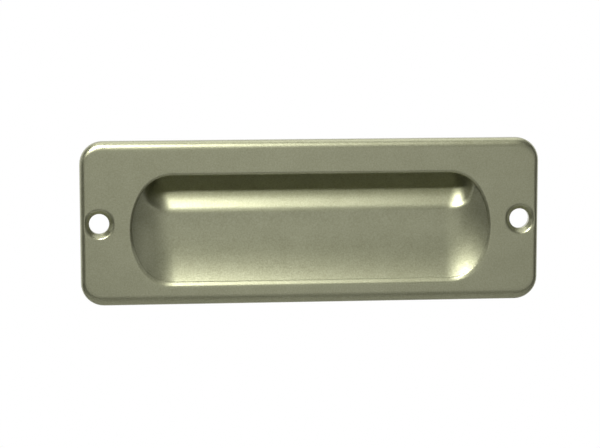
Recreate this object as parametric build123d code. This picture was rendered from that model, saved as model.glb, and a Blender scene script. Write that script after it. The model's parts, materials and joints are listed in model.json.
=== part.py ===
from build123d import *
import os
from math import acos, degrees, radians, sin, tan

os.makedirs("parts", exist_ok=True)

# A flush cabinet pull, cast in one piece: a rectangular plate that lies on the door, with a finger recess let
# into the door behind it. The plate's back lies in the plane Y = 0, its front looks along -Y, and +Z is up.

# Plate
PLATE_LENGTH = 110.0
PLATE_HEIGHT = 39.2
PLATE_THICKNESS = 2.5
PLATE_CORNER_R = 5.5
PLATE_EDGE_R = 2.0

# Screw holes, one near each end of the plate
SCREW_INSET = 4.5
SCREW_HOLE_D = 4.8
COUNTERSINK_D = 6.9
COUNTERSINK_ANGLE = 90.0

# Opening of the recess in the front face, with a sloping, rounded lip
END_MARGIN = 11.8
TOP_MARGIN = 7.8
BOTTOM_MARGIN = 4.6
OPENING_END_R = 18.0
OPENING_CORNER_R = 8.8
LIP_SLOPE = 50.0
LIP_WIDTH = 0.65
LIP_R = 1.0
LIP_INNER_R = 0.8

# Dished floor, which rises to the foot of the lip below and at both ends
DISH_DEPTH = 3.4
DISH_EDGE_DEPTH = 1.1
DISH_END_R = 13.6
DISH_LEVEL = 1.0

# Finger groove behind the upper lip, which starts and ends at these distances below it
GROOVE_START = 9.2
GROOVE_END = 0.55
GROOVE_INSET = 4.3
GROOVE_SLOPE = 28.0
GROOVE_END_SLOPE = 63.0
GROOVE_ROUNDNESS = 0.65
GROOVE_BEND_R = 3.5

# Casing of the recess behind the plate
WALL = 1.5

FRONT_Y = -PLATE_THICKNESS
SCREW_X = PLATE_LENGTH / 2 - SCREW_INSET
OPENING_LENGTH = PLATE_LENGTH - 2 * END_MARGIN
UPPER_LIP_Z = PLATE_HEIGHT / 2 - TOP_MARGIN
LOWER_LIP_Z = BOTTOM_MARGIN - PLATE_HEIGHT / 2
GROOVE_DEPTH = DISH_DEPTH + (GROOVE_START - GROOVE_END) * tan(radians(GROOVE_SLOPE))
INTO_DOOR = Plane(origin=(0, FRONT_Y, 0), x_dir=(-1, 0, 0), z_dir=(0, 1, 0))


def opening(grow):
    """Outline of the recess, a rectangle with bowed ends and rounded corners, set out by grow."""
    half_length = OPENING_LENGTH / 2 + grow
    half_height = (UPPER_LIP_Z - LOWER_LIP_Z) / 2 + grow
    end_r = OPENING_END_R + grow
    corner_x = half_length - end_r + (end_r**2 - half_height**2) ** 0.5
    right_end = ThreePointArc((corner_x, -half_height), (half_length, 0), (corner_x, half_height))
    left_end = mirror(right_end, Plane.YZ)
    top = Line((-corner_x, half_height), (corner_x, half_height))
    bottom = Line((-corner_x, -half_height), (corner_x, -half_height))
    bowed = make_face([right_end, top, left_end, bottom])
    rounded = fillet(bowed.vertices(), OPENING_CORNER_R + grow)
    return INTO_DOOR * Pos(0, (UPPER_LIP_Z + LOWER_LIP_Z) / 2) * rounded


def mouth(grow):
    """Sloping lip all round the opening, with straight walls below it."""
    lip = extrude(opening(grow / sin(radians(LIP_SLOPE))), DISH_DEPTH + grow, taper=90 - LIP_SLOPE)
    walls = extrude(opening(grow - LIP_WIDTH), GROOVE_DEPTH + 2 * grow)
    return lip + walls


def dish(grow):
    """Floor section run along the recess, then turned up at both ends about an upright axis before the plate."""
    floor_y = FRONT_Y + DISH_DEPTH + grow
    ramp_top = UPPER_LIP_Z - GROOVE_START - DISH_LEVEL
    run = ramp_top - LOWER_LIP_Z - LIP_WIDTH
    rise = DISH_DEPTH - DISH_EDGE_DEPTH
    ramp_r = (run**2 + rise**2) / (2 * rise) + grow
    ramp_turn = degrees(acos(1 - DISH_END_R / 2 / ramp_r))
    ramp = CenterArc((floor_y - ramp_r, ramp_top), ramp_r, 0, -ramp_turn)
    low = ramp @ 1
    level = Line((floor_y, ramp_top), (floor_y, PLATE_HEIGHT))
    before = Polyline((floor_y, PLATE_HEIGHT), (low.X, PLATE_HEIGHT), (low.X, low.Y))
    section = make_face([ramp, level, before])
    half = OPENING_LENGTH / 2 - LIP_WIDTH - (2 * DISH_END_R * rise - rise**2) ** 0.5
    middle = extrude(Plane.YZ * section, half, both=True)
    end_axis = Axis((half, FRONT_Y + DISH_DEPTH - DISH_END_R, 0), (0, 0, 1))
    end = revolve(Plane.YZ.offset(half) * section, end_axis, -60)
    return middle + end + mirror(end, Plane.YZ)


def groove_outline(depth, grow):
    """Rounded outline of the groove at a depth below the front face, centred on the upper lip."""
    above_floor = DISH_DEPTH + grow - depth
    height_gain = grow * tan(radians(GROOVE_SLOPE / 2)) + above_floor / tan(radians(GROOVE_SLOPE))
    length_gain = grow * tan(radians(GROOVE_END_SLOPE / 2)) + above_floor / tan(radians(GROOVE_END_SLOPE))
    half_height = GROOVE_START + height_gain
    half_length = OPENING_LENGTH / 2 - GROOVE_INSET + length_gain
    outline = RectangleRounded(2 * half_length, 2 * half_height, GROOVE_ROUNDNESS * half_height)
    return INTO_DOOR.offset(depth) * Pos(0, UPPER_LIP_Z) * outline


def floor(grow):
    """Dish and groove together, blended along the bend between them."""
    start = groove_outline(DISH_DEPTH / 3, grow)
    deepest = groove_outline(GROOVE_DEPTH + grow, grow)
    both = dish(grow) + loft([start, deepest], ruled=True)
    on_bend = (0, FRONT_Y + DISH_DEPTH + grow, UPPER_LIP_Z - GROOVE_START)
    bend = both.edges().sort_by_distance(on_bend)[0]
    return fillet(bend, GROOVE_BEND_R - grow)


def finger_recess():
    """Hollow of the recess, with its walls rounded into the lip."""
    lip_y = FRONT_Y + LIP_WIDTH * tan(radians(LIP_SLOPE))
    inside = mouth(0)
    inside = fillet(inside.edges().filter_by_position(Axis.Y, lip_y - 0.01, lip_y + 0.01), LIP_INNER_R)
    return floor(0) & inside


def casing():
    """Outside of the recess behind the front face, one wall thickness from the hollow."""
    before_plate = extrude(INTO_DOOR * Rectangle(2 * PLATE_LENGTH, 2 * PLATE_HEIGHT), -PLATE_HEIGHT)
    return (floor(WALL) & mouth(WALL)) - before_plate


def plate():
    """Flat plate with rounded corners and a rounded front edge."""
    outline = RectangleRounded(PLATE_LENGTH, PLATE_HEIGHT, PLATE_CORNER_R)
    slab = extrude(INTO_DOOR * outline, PLATE_THICKNESS)
    return fillet(slab.faces().sort_by(Axis.Y)[0].edges(), PLATE_EDGE_R)


def screw_hole(x):
    """Through hole with a conical countersink at the front."""
    spot = INTO_DOOR * Pos(-x, 0)
    shank = extrude(spot * Circle(SCREW_HOLE_D / 2), PLATE_THICKNESS)
    sink_depth = (COUNTERSINK_D - SCREW_HOLE_D) / 2 / tan(radians(COUNTERSINK_ANGLE / 2))
    sink = extrude(spot * Circle(COUNTERSINK_D / 2), sink_depth, taper=COUNTERSINK_ANGLE / 2)
    return shank + sink


body = plate() + casing() - finger_recess()
front_face = body.faces().filter_by(Plane.XZ).sort_by(Axis.Y)[0]
body = fillet(front_face.inner_wires()[0].edges(), LIP_R)
body -= screw_hole(SCREW_X)
body -= screw_hole(-SCREW_X)
body.label = "pull_body"
export_step(body, "parts/pull_body.step")
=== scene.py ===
# %% [markdown]
# # A flush cabinet pull in satin champagne paint
#
# The pull is one casting: a flat plate that lies on a cabinet door, with a finger recess sunk into the door
# behind it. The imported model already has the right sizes, so it is loaded first and everything else is worked
# out from its box and from its record.

# %% Load the frame
import json
from math import cos, pi, radians, sin, tan
import bmesh
import bpy
import numpy as np
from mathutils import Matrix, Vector


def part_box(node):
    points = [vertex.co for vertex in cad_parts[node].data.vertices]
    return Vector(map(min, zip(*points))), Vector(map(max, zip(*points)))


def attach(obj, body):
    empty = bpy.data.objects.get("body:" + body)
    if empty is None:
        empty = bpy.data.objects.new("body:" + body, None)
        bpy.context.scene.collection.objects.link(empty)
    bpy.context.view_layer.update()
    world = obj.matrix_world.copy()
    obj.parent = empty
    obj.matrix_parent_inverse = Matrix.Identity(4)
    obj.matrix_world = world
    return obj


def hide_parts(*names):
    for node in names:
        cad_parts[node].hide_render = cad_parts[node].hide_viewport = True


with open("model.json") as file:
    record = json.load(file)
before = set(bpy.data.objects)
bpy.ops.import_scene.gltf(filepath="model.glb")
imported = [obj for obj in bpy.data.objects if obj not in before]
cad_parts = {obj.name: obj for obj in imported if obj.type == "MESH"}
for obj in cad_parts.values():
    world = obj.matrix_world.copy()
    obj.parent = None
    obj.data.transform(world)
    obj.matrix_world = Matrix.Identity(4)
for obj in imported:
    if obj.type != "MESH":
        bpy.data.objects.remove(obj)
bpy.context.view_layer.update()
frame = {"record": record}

MM = 0.001
low, high = (np.array(corner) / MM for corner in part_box("pull_body"))
screws = next(m for m in frame["record"]["mounts"] if m["name"] == "screw_holes")["dims"]
print("plate", np.round(high - low, 2), "mm, screws", screws["spacing_x_mm"], "mm apart")

# %% [markdown]
# ## The plate and its opening
#
# Depth is counted from the front face into the door, in millimetres, so a point at depth d lies at
# Y = FRONT_Y + d. The plate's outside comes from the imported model's box. The opening of the recess is set
# by its margins to the plate's edges, with more plate above it than below.

# %% Plate and opening, in millimetres
HALF_LENGTH = (high[0] - low[0]) / 2
HALF_HEIGHT = (high[2] - low[2]) / 2
FRONT_Y = low[1]
THICKNESS = -FRONT_Y
END_MARGIN = 11.8
TOP_MARGIN = 7.8
BOTTOM_MARGIN = 4.6
UPPER_LIP = HALF_HEIGHT - TOP_MARGIN
LOWER_LIP = BOTTOM_MARGIN - HALF_HEIGHT
MIDDLE_Z = (UPPER_LIP + LOWER_LIP) / 2
RECESS_HALF_LENGTH = HALF_LENGTH - END_MARGIN
print("recess", round(2 * RECESS_HALF_LENGTH, 1), "by", round(UPPER_LIP - LOWER_LIP, 1), "mm")

# %% [markdown]
# ## The recess as two heights
#
# The floor could be sculpted, but both of its forms have simple formulas, so it is a height over the plane of
# the plate. The dish is a flat strip with a round ramp below it, turned up at both ends. The groove for the
# finger tips is a stack of rounded rectangles that shrink as they go deeper, and a soft wave down its slope
# spreads the highlight there. The deeper of the two wins, with a soft bend where they cross.

# %% Dish
LIP_WIDTH = 0.65  # the floor and the casing are laid out from this width, all round
DISH_DEPTH = 3.4
DISH_EDGE_DEPTH = 0.6
DISH_END_DEPTH = 0.9
DISH_END_R = 22.0
DISH_LEVEL = 1.0
GROOVE_START = 9.2


def dish_depth(x, z, grow):
    """Circle arc below the ramp's top, turned about an upright axis beyond the ends of the level strip."""
    ramp_top = UPPER_LIP - GROOVE_START - DISH_LEVEL
    run = ramp_top - LOWER_LIP - LIP_WIDTH
    rise = DISH_DEPTH - DISH_EDGE_DEPTH
    ramp_r = (run**2 + rise**2) / (2 * rise)
    below = np.clip(ramp_top - z, 0, None)
    section = DISH_DEPTH - ramp_r + np.sqrt((ramp_r + grow) ** 2 - below**2)
    end_rise = DISH_DEPTH - DISH_END_DEPTH
    end_run = (2 * DISH_END_R * end_rise - end_rise**2) ** 0.5
    strip_half = RECESS_HALF_LENGTH - LIP_WIDTH - end_run
    beyond = np.clip(np.abs(x) - strip_half, 0, None)
    turn_r = section - DISH_DEPTH + DISH_END_R
    return DISH_DEPTH - DISH_END_R + np.sqrt(np.clip(turn_r**2 - beyond**2, 0, None))


print("dish", dish_depth(np.zeros(2), np.array([-10.0, 0.0]), 0.0).round(2), "mm deep on the ramp and above")

# %% Groove
GROOVE_END = 0.55
GROOVE_INSET = 4.3
GROOVE_SLOPE = radians(28)
GROOVE_END_SLOPE = radians(63)
GROOVE_ROUNDNESS = 0.65
GROOVE_WAVE = 0.36
GROOVE_DEPTH = DISH_DEPTH + (GROOVE_START - GROOVE_END) * tan(GROOVE_SLOPE)
HALVINGS = 24


def groove_depth(x, z, grow):
    """Depth at which a rounded rectangle, shrinking with depth, passes through the point, by halving."""
    shallow = np.zeros_like(x)
    deep = np.full_like(x, GROOVE_DEPTH + grow)
    for step in range(HALVINGS):
        depth = (shallow + deep) / 2
        above = DISH_DEPTH + grow - depth
        share = np.clip(above / (DISH_DEPTH - GROOVE_DEPTH), 0, 1)
        wave = GROOVE_WAVE * np.sin(2 * pi * share)
        half_z = GROOVE_START + grow * tan(GROOVE_SLOPE / 2) + above / tan(GROOVE_SLOPE) - wave
        outset = grow * tan(GROOVE_END_SLOPE / 2)
        half_x = RECESS_HALF_LENGTH - GROOVE_INSET + outset + above / tan(GROOVE_END_SLOPE)
        corner = GROOVE_ROUNDNESS * half_z
        over_x = np.abs(x) - half_x + corner
        over_z = np.abs(z - UPPER_LIP) - half_z + corner
        reach = np.hypot(np.clip(over_x, 0, None), np.clip(over_z, 0, None))
        inside = reach + np.clip(np.maximum(over_x, over_z), None, 0) <= corner
        shallow = np.where(inside, depth, shallow)
        deep = np.where(inside, deep, depth)
    return shallow


print("groove", round(GROOVE_DEPTH, 2), "mm deep")

# %% Dish and groove together
BEND_BLEND = 0.46


def smooth_max(a, b, blend):
    """The larger of two heights, plus a quarter of the blend where they meet, fading out at the blend."""
    near = np.clip(1 - np.abs(a - b) / blend, 0, None)
    return np.maximum(a, b) + blend * near**2 / 4


def floor_depth(x, z, grow=0.0):
    """Smooth maximum of dish and groove; grow sets both deeper, for the casing behind them."""
    return smooth_max(dish_depth(x, z, grow), groove_depth(x, z, grow), BEND_BLEND)


print("floor at the middle", floor_depth(np.zeros(3), np.array([-10.0, 0.0, 10.0])).round(2), "mm deep")

# %% [markdown]
# ## Outlines
#
# Each row of the mesh follows an outline, so that highlights run along the lip and the edge without steps.
# The recess has straight long sides, bowed ends and round corners: all arcs, so a row set in by a distance is
# the same outline moved along its own normals.

# %% Outline of the recess
OUTLINE_END_R = 18.0
OUTLINE_CORNER_R = 8.8
STRAIGHT_STEPS = 90
CORNER_STEPS = 12
END_STEPS = 30


def recess_outline():
    """Points (x, z) and outward normals round the recess, from the upper left: arc centres plus radii."""
    half_height = (UPPER_LIP - LOWER_LIP) / 2
    arm = OUTLINE_END_R - OUTLINE_CORNER_R
    meet = np.arcsin((half_height - OUTLINE_CORNER_R) / arm)
    end_x = RECESS_HALF_LENGTH - OUTLINE_END_R
    corner_x = end_x + arm * cos(meet)
    corner_z = half_height - OUTLINE_CORNER_R
    along = np.linspace(-corner_x, corner_x, STRAIGHT_STEPS + 1)[:-1]
    corner = np.linspace(pi / 2, meet, CORNER_STEPS + 1)[:-1]
    end = np.linspace(meet, -meet, END_STEPS + 1)[:-1]
    lower = np.linspace(-meet, -pi / 2, CORNER_STEPS + 1)[:-1]
    turn = np.concatenate([np.full(STRAIGHT_STEPS, pi / 2), corner, end, lower])
    corner_row = np.full(CORNER_STEPS, corner_x)
    centre_x = np.concatenate([along, corner_row, np.full(END_STEPS, end_x), corner_row])
    upper_row = np.full(STRAIGHT_STEPS + CORNER_STEPS, corner_z)
    centre_z = np.concatenate([upper_row, np.zeros(END_STEPS), np.full(CORNER_STEPS, -corner_z)])
    radius = np.where(np.abs(centre_z) > 0, OUTLINE_CORNER_R, OUTLINE_END_R)
    normal = np.stack([np.cos(turn), np.sin(turn)], -1)
    half = np.stack([centre_x, centre_z], -1) + radius[:, None] * normal
    points = np.concatenate([half, -half]) + (0, MIDDLE_Z)
    return points, np.concatenate([normal, -normal])


rim, rim_normal = recess_outline()
print(len(rim), "points round the recess")

# %% Outline of the plate's right-hand end
CORNER_R = 5.5
LONG_EDGE = 2.5
END_EDGE = 1.2
JOIN_GAP = 2.8
JOIN_X = RECESS_HALF_LENGTH + JOIN_GAP
EDGE_STEPS = 4
ROUND_STEPS = 10
SIDE_STEPS = 15


def end_outline():
    """Points (x, z) and outward normals: top edge, corner arc, half the end edge, then their mirror image."""
    centre_x = HALF_LENGTH - CORNER_R
    centre_z = HALF_HEIGHT - CORNER_R
    top_x = np.linspace(JOIN_X, centre_x, EDGE_STEPS + 1)[:-1]
    turn = np.linspace(pi / 2, 0, ROUND_STEPS + 1)[:-1]
    side_z = np.linspace(centre_z, 0, SIDE_STEPS + 1)
    top = np.stack([top_x, np.full(EDGE_STEPS, HALF_HEIGHT)], -1)
    corner = np.stack([centre_x + CORNER_R * np.cos(turn), centre_z + CORNER_R * np.sin(turn)], -1)
    side = np.stack([np.full(len(side_z), HALF_LENGTH), side_z], -1)
    normal_turn = np.concatenate([np.full(EDGE_STEPS, pi / 2), turn, np.zeros(len(side_z))])
    upper = np.concatenate([top, corner, side])
    normal = np.stack([np.cos(normal_turn), np.sin(normal_turn)], -1)
    mirror = (1, -1)
    outline = np.concatenate([upper, upper[-2::-1] * mirror])
    return outline, np.concatenate([normal, normal[-2::-1] * mirror])


end_outer, end_normal = end_outline()
end_inset = END_EDGE + (LONG_EDGE - END_EDGE) * end_normal[:, 1:] ** 2
end_edge = end_outer - end_inset * end_normal
print(len(end_edge), "points round each end")

# %% Outline of the middle panel
FLAT_HALF_HEIGHT = HALF_HEIGHT - LONG_EDGE
TINY = 1e-6


def panel_outline():
    """The recess outline stretched to a rectangle: points that face up or down go to the long edges."""
    x = rim[:, 0]
    across = rim[:, 1] - MIDDLE_Z
    upright = np.abs(rim_normal[:, 1]) >= np.abs(rim_normal[:, 0]) - TINY
    corner_x = np.abs(x[upright]).max()
    corner_z = np.abs(across[~upright | (np.abs(x) > corner_x - TINY)]).max()
    far_x = np.where(upright, x * JOIN_X / corner_x, np.sign(x) * JOIN_X)
    far_z = np.where(upright, np.sign(across) * FLAT_HALF_HEIGHT, across * FLAT_HALF_HEIGHT / corner_z)
    return np.stack([far_x, far_z], -1), upright


panel_edge, panel_upright = panel_outline()
print(len(panel_edge), "points round the middle panel")

# %% [markdown]
# ## Patches
#
# The casting is laid out as patches that share their border points: the middle panel with the recess, two end
# panels with the screw holes, the rounded edge, and the same again at the back with the casing of the recess.
# Every patch is a grid of points made from whole rows at once. The borders are merged afterwards, so the
# result is one closed skin.

# %% Helpers for patches
patches = []


def rows_between(start, stop, steps):
    """Rows of points from one outline to another, at the given shares of the way."""
    share = np.asarray(steps)[:, None, None]
    return start[None] * (1 - share) + stop[None] * share


def lift(points, depth):
    """Points (x, z) with their depth, as (x, y, z)."""
    depth = np.broadcast_to(depth, points.shape[:-1])
    return np.stack([points[..., 0], FRONT_Y + depth, points[..., 1]], -1)


def straight_wall(outline, depth):
    """Rows of one outline (x, z) at several depths."""
    return lift(np.broadcast_to(outline, (len(depth), *outline.shape)), depth)


def closing_rows(border, steps):
    """Rows that close in from a border to the middle line of the recess, each point along its own way."""
    line_share = 1 - (UPPER_LIP - MIDDLE_Z) / RECESS_HALF_LENGTH
    middle = np.stack([rim[:, 0] * line_share, np.full(len(rim), MIDDLE_Z)], -1)
    return rows_between(border, middle, steps)


print("middle line", round(2 * RECESS_HALF_LENGTH - (UPPER_LIP - LOWER_LIP), 1), "mm long")

# %% [markdown]
# ## Lip, wall and floor of the recess
#
# Seen in section, the lip is an arc that leaves the face, a short slope and a smaller arc that turns into the
# straight wall. This profile is carried round the outline, and it grows wider and rounder towards the lower
# side, where it catches the light. Where the wall ends, rows of points close in on the middle line of the
# recess and take their depth from the floor.

# %% Section of the lip
UPPER_LIP_WIDTH = 0.4
LOWER_LIP_WIDTH = 0.95
UPPER_LIP_SLOPE = radians(45)
LOWER_LIP_SLOPE = radians(32)
UPPER_LIP_R = 0.7
LOWER_LIP_R = 2.0
LIP_INNER_R = 0.4
LIP_STEPS = 8


def lip_profile(lower):
    """Inset and depth down the lip: arc, slope, smaller arc; lower is 0 above and 1 at the lower lip."""
    width = UPPER_LIP_WIDTH + (LOWER_LIP_WIDTH - UPPER_LIP_WIDTH) * lower
    slope = UPPER_LIP_SLOPE + (LOWER_LIP_SLOPE - UPPER_LIP_SLOPE) * lower
    outer_r = UPPER_LIP_R + (LOWER_LIP_R - UPPER_LIP_R) * lower
    way = np.linspace(0, 1, LIP_STEPS)[:, None]
    outer_inset = outer_r * (np.sin(way * slope) - np.tan(slope / 2))
    outer_depth = outer_r * (1 - np.cos(way * slope))
    inner_turn = slope + way * (pi / 2 - slope)
    foot = width * np.tan(slope) + LIP_INNER_R * np.tan((pi / 2 - slope) / 2)
    inner_inset = width - LIP_INNER_R * (1 - np.sin(inner_turn))
    inner_depth = foot - LIP_INNER_R * np.cos(inner_turn)
    return np.concatenate([outer_inset, inner_inset]), np.concatenate([outer_depth, inner_depth])


lip_inset, lip_fall = lip_profile(np.clip(-rim_normal[:, 1], 0, 1))
print("lip", lip_inset[-1].min().round(2), "to", lip_inset[-1].max().round(2), "mm wide")

# %% Lip, wall and floor
LIP_BLEND = 0.45
WALL_STEPS = np.linspace(0, 1, 9)[1:]
CLOSE_STEPS = [0.01, 0.025, 0.045]  # closer rows beside the wall, where the floor turns most
FLOOR_STEPS = np.concatenate([CLOSE_STEPS, np.linspace(0.07, 1, 62)])

lip_points = rim[None] - lip_inset[..., None] * rim_normal[None]
lip_blend = np.clip(lip_fall, TINY, LIP_BLEND)
lip_depth = -smooth_max(-lip_fall, -floor_depth(lip_points[..., 0], lip_points[..., 1]), lip_blend)
foot_points = lip_points[-1]
foot_floor = floor_depth(foot_points[:, 0], foot_points[:, 1])
wall_depth = lip_depth[-1] + WALL_STEPS[:, None] * np.clip(foot_floor - lip_depth[-1], 0, None)
wall_rows = straight_wall(foot_points, wall_depth)
floor_points = closing_rows(foot_points, FLOOR_STEPS)
floor_rows = lift(floor_points, floor_depth(floor_points[..., 0], floor_points[..., 1]))
recess_rows = np.concatenate([lift(lip_points, lip_depth), wall_rows, floor_rows])
patches.append((recess_rows, True))
print("recess", recess_rows.shape[:2], "deepest", (recess_rows[..., 1].max() - FRONT_Y).round(2), "mm")

# %% [markdown]
# ## Flat front, screw holes and rounded edge
#
# The middle panel runs from the lip out to a plain rectangle. Each end panel runs from its screw hole out to
# the end's outline. The edge is a quarter ellipse carried round the whole outline, wide along the long sides
# and narrow at the ends. The countersink comes close to it, so both are heights again and the deeper wins.

# %% Countersinks
SCREW_X = screws["spacing_x_mm"] / 2
HOLE_R = screws["hole_r_mm"]
SINK_R = 3.45
SINK_BLEND = 0.25


def sunk(points, depth):
    """Depth of the front face with the countersinks' 45 degree cones let in, their rims softened by paint."""
    cone = SINK_R - np.hypot(np.abs(points[..., 0]) - SCREW_X, points[..., 1])
    return smooth_max(np.broadcast_to(depth, points.shape[:-1]), cone, SINK_BLEND)


print("countersinks", round(SINK_R - HOLE_R, 2), "mm deep, holes", 2 * HOLE_R, "mm wide")

# %% Middle panel and end panels
PANEL_STEPS = np.linspace(0, 1, 8)
SINK_STEPS = np.linspace(0, 1, 14)
OUTER_STEPS = np.linspace(0, 1, 8)[1:]
HOLE_STEPS = np.linspace(0, 1, 5)[:, None]
BACK_END_STEPS = np.linspace(0, 1, 6)
FINE_ZONE = 1.6  # fine rows reach out to this many countersink radii
FINE_SHARE = 0.8  # or to this share of the way to the border, where that is nearer
BACK_SCALE = np.array([1.0, HALF_HEIGHT / FLAT_HALF_HEIGHT])

patches.append((lift(rows_between(lip_points[0], panel_edge, PANEL_STEPS), 0.0), True))

join = panel_edge[~panel_upright & (panel_edge[:, 0] > 0)]
join = join[np.argsort(join[:, 1])]
end_border = np.concatenate([end_edge, join])
ray = end_border - (SCREW_X, 0)
ray_length = np.hypot(ray[:, 0], ray[:, 1])
hole_circle = (SCREW_X, 0) + HOLE_R * ray / ray_length[:, None]
sink_reach = np.minimum(FINE_ZONE * SINK_R - HOLE_R, FINE_SHARE * (ray_length - HOLE_R))
sink_edge = hole_circle + sink_reach[:, None] * ray / ray_length[:, None]
sink_points = rows_between(hole_circle, sink_edge, SINK_STEPS)
end_points = np.concatenate([sink_points, rows_between(sink_edge, end_border, OUTER_STEPS)])
end_rows = lift(end_points, sunk(end_points, 0.0))
hole_top = end_rows[0, :, 1] - FRONT_Y
hole_rows = straight_wall(hole_circle, hole_top + HOLE_STEPS * (THICKNESS - hole_top))
back_border = np.concatenate([end_outer, join * BACK_SCALE])
back_end_rows = lift(rows_between(hole_circle, back_border, BACK_END_STEPS), THICKNESS)
print("end panel", end_rows.shape[:2], "hole", hole_rows.shape[:2])

# %% Rounded edge
EDGE_DEPTH = 1.5
EDGE_TURN = np.linspace(0, pi / 2, 12)

long_edge = panel_edge[panel_upright & (panel_edge[:, 1] > 0)]
long_edge = long_edge[np.argsort(long_edge[:, 0])][:-1]
edge_path = np.concatenate([long_edge, end_edge])
edge_inset = np.concatenate([np.full((len(long_edge), 1), LONG_EDGE), end_inset])
edge_normal = np.concatenate([np.tile((0.0, 1.0), (len(long_edge), 1)), end_normal])
round_points = edge_path[None] + np.sin(EDGE_TURN)[:, None, None] * (edge_inset * edge_normal)[None]
round_rows = lift(round_points, sunk(round_points, EDGE_DEPTH * (1 - np.cos(EDGE_TURN))[:, None]))
side_depth = np.array([[(EDGE_DEPTH + THICKNESS) / 2], [THICKNESS]])
half_edge = np.concatenate([round_rows, straight_wall(round_points[-1], side_depth)])
print("half of the edge", half_edge.shape[:2])

# %% [markdown]
# ## Back of the plate and casing
#
# The back is flat, and the recess stands out of it as a casing one wall thick. Its skin is the same floor
# formula set deeper by the wall, so the casing follows the recess everywhere. The two ends are alike, so the
# right-hand patches are turned half round for the left.

# %% Back, casing and left-hand end
WALL = 1.5
CASING_BLEND = 0.3
CASING_WALL_STEPS = np.linspace(0, 1, 8)[:, None]
CASING_STEPS = np.linspace(0, 1, 44)[1:]
BACK_STEPS = np.linspace(0, 1, 5)


def casing_depth(points):
    """Smooth maximum of the plate's back and the floor set out by one wall, flat behind the groove."""
    floor_behind = floor_depth(points[..., 0], points[..., 1], WALL)
    casing = np.minimum(floor_behind, GROOVE_DEPTH + WALL)
    return smooth_max(np.full(points.shape[:-1], THICKNESS), casing, CASING_BLEND)


casing_border = rim + (WALL - LIP_WIDTH) * rim_normal
casing_rise = casing_depth(casing_border) - THICKNESS
casing_wall_rows = straight_wall(casing_border, THICKNESS + CASING_WALL_STEPS * casing_rise)
casing_points = closing_rows(casing_border, CASING_STEPS)
casing_rows = lift(casing_points, casing_depth(casing_points))
patches.append((np.concatenate([casing_wall_rows, casing_rows]), True))
back_panel = rows_between(casing_border, panel_edge * BACK_SCALE, BACK_STEPS)
patches.append((lift(back_panel, THICKNESS), True))
for half_turn in (1, -1):
    turned = np.array([half_turn, 1, half_turn])
    patches.append((end_rows * turned, True))
    patches.append((hole_rows * turned, True))
    patches.append((back_end_rows * turned, True))
    patches.append((half_edge * turned, False))
print(len(patches), "patches")

# %% [markdown]
# ## One closed skin
#
# The patches could stay separate objects, but paint runs over a casting without a seam. So their points go
# into one mesh, the doubled border points are merged, and the count of open edges shows whether the skin is
# closed. Shading is smooth, apart from edges that turn by more than an angle, such as the rims of the holes.

# %% Merge the patches
MERGE = 0.0001
SHARP_ANGLE = radians(40)


def grid_faces(rows, columns, closed, first):
    """Quads of a grid numbered row by row from first; a closed grid joins its last column to the first."""
    number = first + np.arange(rows * columns).reshape(rows, columns)
    number = np.concatenate([number, number[:, :1]], 1) if closed else number
    corners = [number[:-1, :-1], number[:-1, 1:], number[1:, 1:], number[1:, :-1]]
    return np.stack(corners, -1).reshape(-1, 4)


def closed_skin(name, grids):
    """One mesh object from all grids, with the shared borders merged and the faces turned outwards."""
    starts = np.cumsum([0] + [points.shape[0] * points.shape[1] for points, closed in grids])
    corners = np.concatenate([points.reshape(-1, 3) for points, closed in grids]) * MM
    numbered = zip(grids, starts)
    quads = [grid_faces(*points.shape[:2], closed, first) for (points, closed), first in numbered]
    mesh = bpy.data.meshes.new(name)
    mesh.from_pydata(corners.tolist(), [], np.concatenate(quads).tolist())
    skin = bmesh.new()
    skin.from_mesh(mesh)
    bmesh.ops.remove_doubles(skin, verts=skin.verts, dist=MERGE * MM)
    bmesh.ops.dissolve_degenerate(skin, edges=skin.edges, dist=MERGE * MM)
    bmesh.ops.recalc_face_normals(skin, faces=skin.faces)
    open_edges = sum(not edge.is_manifold for edge in skin.edges)
    volume = round(skin.calc_volume() / MM**3)
    print(name, len(skin.faces), "faces,", open_edges, "open edges,", volume, "cubic mm")
    skin.to_mesh(mesh)
    skin.free()
    mesh.shade_smooth()
    mesh.set_sharp_from_angle(angle=SHARP_ANGLE)
    thing = bpy.data.objects.new(name, mesh)
    bpy.context.collection.objects.link(thing)
    return thing


pull = closed_skin("cabinet_pull", patches)
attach(pull, "root")
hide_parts("pull_body")

# %% [markdown]
# ## Satin metallic paint
#
# The casting is taken to be zinc, sprayed with a champagne metallic paint under a satin clear coat. Metal
# flakes give it the depth of a metal with a soft, wide highlight, and the coat adds a second, tighter one.
# The spray and the cast surface leave a fine grain, which breaks the highlights up. It could be a picture
# laid on the part, but a noise of the grain's size needs none: it varies colour and roughness a little and
# raises the surface by microns.


# %% Colours and node helper
def colour(hex_value):
    """An sRGB hex colour as linear red, green, blue and alpha, by the sRGB curve."""
    levels = np.array([int(hex_value[i : i + 2], 16) for i in (1, 3, 5)]) / 255
    linear = np.where(levels <= 0.04045, levels / 12.92, ((levels + 0.055) / 1.055) ** 2.4)
    return (*linear.tolist(), 1.0)


def add(tree, kind, settings=None, **links):
    """A new node with its settings, and links from other nodes' sockets to the inputs of those names."""
    node = tree.nodes.new(kind)
    for name, value in (settings or {}).items():
        if name in node.inputs:
            node.inputs[name].default_value = value
        else:
            setattr(node, name, value)
    for name, socket in links.items():
        tree.links.new(socket, node.inputs[name.replace("_", " ")])
    return node


def new_material(name):
    """An empty node material and its tree."""
    material = bpy.data.materials.new(name)
    material.use_nodes = True
    material.node_tree.nodes.clear()
    return material, material.node_tree


print("mid grey is", round(colour("#808080")[0], 3), "of white's light")

# %% Champagne paint
GRAIN = 0.35  # drawn coarser than a real spray grain, so that it shows
MOTTLE = 5.0
MOTTLE_SHARE = 0.3
GRAIN_HEIGHT = 0.014
DARK_FLAKES = "#959677"
LIGHT_FLAKES = "#b4b597"


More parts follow.
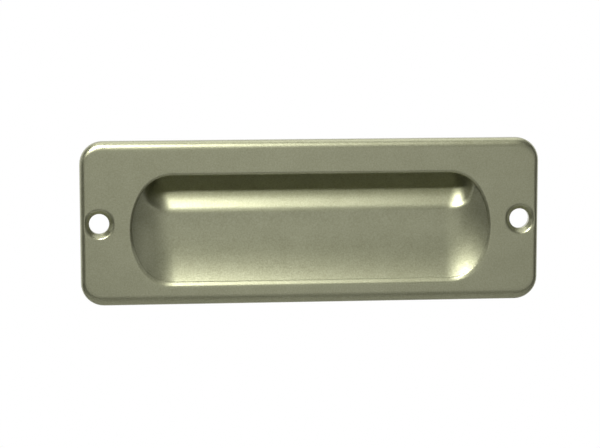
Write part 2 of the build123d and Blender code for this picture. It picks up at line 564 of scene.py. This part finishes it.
def champagne_paint():
    """Metallic paint: flake colour varied by grain and mottle, grain in the surface, satin clear coat."""
    material, tree = new_material("champagne_metallic_paint")
    place = add(tree, "ShaderNodeTexCoord").outputs["Object"]
    grain = add(tree, "ShaderNodeTexNoise", {"Scale": 1 / (GRAIN * MM), "Detail": 3.0}, Vector=place)
    mottle = add(tree, "ShaderNodeTexNoise", {"Scale": 1 / (MOTTLE * MM), "Detail": 4.0}, Vector=place)
    both = add(tree, "ShaderNodeMath", {"operation": "MULTIPLY_ADD"})
    tree.links.new(mottle.outputs["Fac"], both.inputs[0])
    both.inputs[1].default_value = MOTTLE_SHARE
    tree.links.new(grain.outputs["Fac"], both.inputs[2])
    tint = add(tree, "ShaderNodeMapRange", {"From Min": 0.3, "From Max": 1.0}, Value=both.outputs["Value"])
    flakes = add(tree, "ShaderNodeValToRGB", Fac=tint.outputs["Result"])
    flakes.color_ramp.elements[0].color = colour(DARK_FLAKES)
    flakes.color_ramp.elements[1].color = colour(LIGHT_FLAKES)
    satin = add(tree, "ShaderNodeMapRange", {"To Min": 0.32, "To Max": 0.42}, Value=grain.outputs["Fac"])
    raised = {"Strength": 1.0, "Distance": GRAIN_HEIGHT * MM}
    bump = add(tree, "ShaderNodeBump", raised, Height=grain.outputs["Fac"])
    paint = add(
        tree,
        "ShaderNodeBsdfPrincipled",
        {"Metallic": 1.0, "Coat Weight": 0.8, "Coat Roughness": 0.26},
        Base_Color=flakes.outputs["Color"],
        Roughness=satin.outputs["Result"],
        Normal=bump.outputs["Normal"],
    )
    add(tree, "ShaderNodeOutputMaterial", Surface=paint.outputs["BSDF"])
    return material


pull.data.materials.append(champagne_paint())
print("paint on", pull.name)

# %% [markdown]
# ## Stage
#
# A pale floor lies below the pull and a pale backdrop stands behind it. The backdrop is plain white to the
# camera and to reflections, which leaves the pull cut out on white. To all other light it is a matt board.

# %% Floor and backdrop
FLOOR_Z = -0.8
BACKDROP_Y = 0.7
STAGE_REACH = 3.0
PALE_BOARD = "#e6e6e4"


def sheet(name, corners, material):
    """A flat four-cornered sheet that belongs to the stage."""
    mesh = bpy.data.meshes.new(name)
    mesh.from_pydata(corners, [], [(0, 1, 2, 3)])
    mesh.materials.append(material)
    thing = bpy.data.objects.new(name, mesh)
    bpy.context.collection.objects.link(thing)
    return thing


def pale_floor():
    """Matt pale board, with no highlight to speak of."""
    material, tree = new_material("pale_board")
    board = add(tree, "ShaderNodeBsdfPrincipled", {"Base Color": colour(PALE_BOARD), "Roughness": 0.9})
    add(tree, "ShaderNodeOutputMaterial", Surface=board.outputs["BSDF"])
    return material


def white_backdrop():
    """White to camera, glossy and transmission rays, and a matt pale board to the rest."""
    material, tree = new_material("white_backdrop")
    path = add(tree, "ShaderNodeLightPath")
    seen = add(tree, "ShaderNodeMath", {"operation": "ADD"})
    tree.links.new(path.outputs["Is Camera Ray"], seen.inputs[0])
    tree.links.new(path.outputs["Is Glossy Ray"], seen.inputs[1])
    shown = add(tree, "ShaderNodeMath", {"operation": "ADD", "use_clamp": True})
    tree.links.new(seen.outputs["Value"], shown.inputs[0])
    tree.links.new(path.outputs["Is Transmission Ray"], shown.inputs[1])
    board = add(tree, "ShaderNodeBsdfDiffuse", {"Color": colour(PALE_BOARD)})
    white = add(tree, "ShaderNodeEmission", {"Strength": 1.0})
    mix = add(tree, "ShaderNodeMixShader", Fac=shown.outputs["Value"])
    tree.links.new(board.outputs["BSDF"], mix.inputs[1])
    tree.links.new(white.outputs["Emission"], mix.inputs[2])
    add(tree, "ShaderNodeOutputMaterial", Surface=mix.outputs["Shader"])
    return material


floor_corners = [
    (-STAGE_REACH, -STAGE_REACH, FLOOR_Z),
    (STAGE_REACH, -STAGE_REACH, FLOOR_Z),
    (STAGE_REACH, STAGE_REACH, FLOOR_Z),
    (-STAGE_REACH, STAGE_REACH, FLOOR_Z),
]
backdrop_corners = [
    (-STAGE_REACH, BACKDROP_Y, FLOOR_Z),
    (STAGE_REACH, BACKDROP_Y, FLOOR_Z),
    (STAGE_REACH, BACKDROP_Y, STAGE_REACH),
    (-STAGE_REACH, BACKDROP_Y, STAGE_REACH),
]
sheet("floor", floor_corners, pale_floor())
sheet("backdrop", backdrop_corners, white_backdrop())
print("stage", 2 * STAGE_REACH, "m wide")

# %% [markdown]
# ## Light
#
# A soft box above and a little to the left draws the bright band in the groove and the lines along the lip
# and the upper edge. A broad panel overhead lights the surfaces that face up. A large, dim panel in front
# gives the flat paint something even to reflect, and a panel on each side does the same for the ends of the
# recess. The world is a dim grey, so that those ends, which look sideways, stay darker than the plate.

# %% Soft boxes and world
SOFT_BOXES = {  # place in metres, width and height in metres, power in watts
    "key_box": ((-0.25, -0.72, 0.61), (0.25, 0.1), 8.4),
    "overhead_panel": ((0.0, -0.05, 0.9), (1.0, 0.6), 3.0),
    "front_panel": ((0.12, -1.2, -0.12), (0.6, 0.6), 0.88),
    "left_panel": ((-1.1, -0.2, 0.2), (0.5, 0.6), 0.6),
    "right_panel": ((0.8, -0.9, 0.2), (0.5, 0.6), 0.4),
}


def soft_box(name, place, size, power):
    """A rectangular area light at a place, turned towards the pull."""
    lamp = bpy.data.lights.new(name, "AREA")
    lamp.shape = "RECTANGLE"
    lamp.size, lamp.size_y = size
    lamp.energy = power
    box = bpy.data.objects.new(name, lamp)
    box.location = place
    box.rotation_euler = (-Vector(place)).to_track_quat("-Z", "Y").to_euler()
    bpy.context.collection.objects.link(box)


for name, (place, size, power) in SOFT_BOXES.items():
    soft_box(name, place, size, power)
world = bpy.data.worlds.new("dim_grey")
world.use_nodes = True
world.node_tree.nodes["Background"].inputs["Color"].default_value = colour("#5c5c5c")
bpy.context.scene.world = world
bpy.context.scene.view_settings.view_transform = "Standard"
print(len(SOFT_BOXES), "soft boxes")

# %% [markdown]
# ## Camera
#
# The photograph looks at the plate almost square on, from a little above and a little to the left. The
# angles, the lens and the aim were fitted to the plate's edges and its two holes.

# %% Camera
AZIMUTH = radians(-5.858)
ELEVATION = radians(7.216)
ROLL = radians(-0.068)
DISTANCE = 0.5
AIM = Vector((-2.825, FRONT_Y, -0.516)) * MM
FOCAL_PIXELS = 2096.9
IMAGE_WIDTH = 600
lens = bpy.data.cameras.new("camera")
lens.sensor_width = 36.0
lens.lens = lens.sensor_width * FOCAL_PIXELS / IMAGE_WIDTH
lens.clip_start = 0.01
camera = bpy.data.objects.new("camera", lens)
back = Vector((sin(AZIMUTH) * cos(ELEVATION), -cos(AZIMUTH) * cos(ELEVATION), sin(ELEVATION)))
camera.location = AIM + DISTANCE * back
camera.rotation_euler = back.to_track_quat("Z", "Y").to_euler()
camera.rotation_euler.rotate_axis("Z", ROLL)
bpy.context.collection.objects.link(camera)
bpy.context.scene.camera = camera
print("lens", round(lens.lens, 1), "mm")
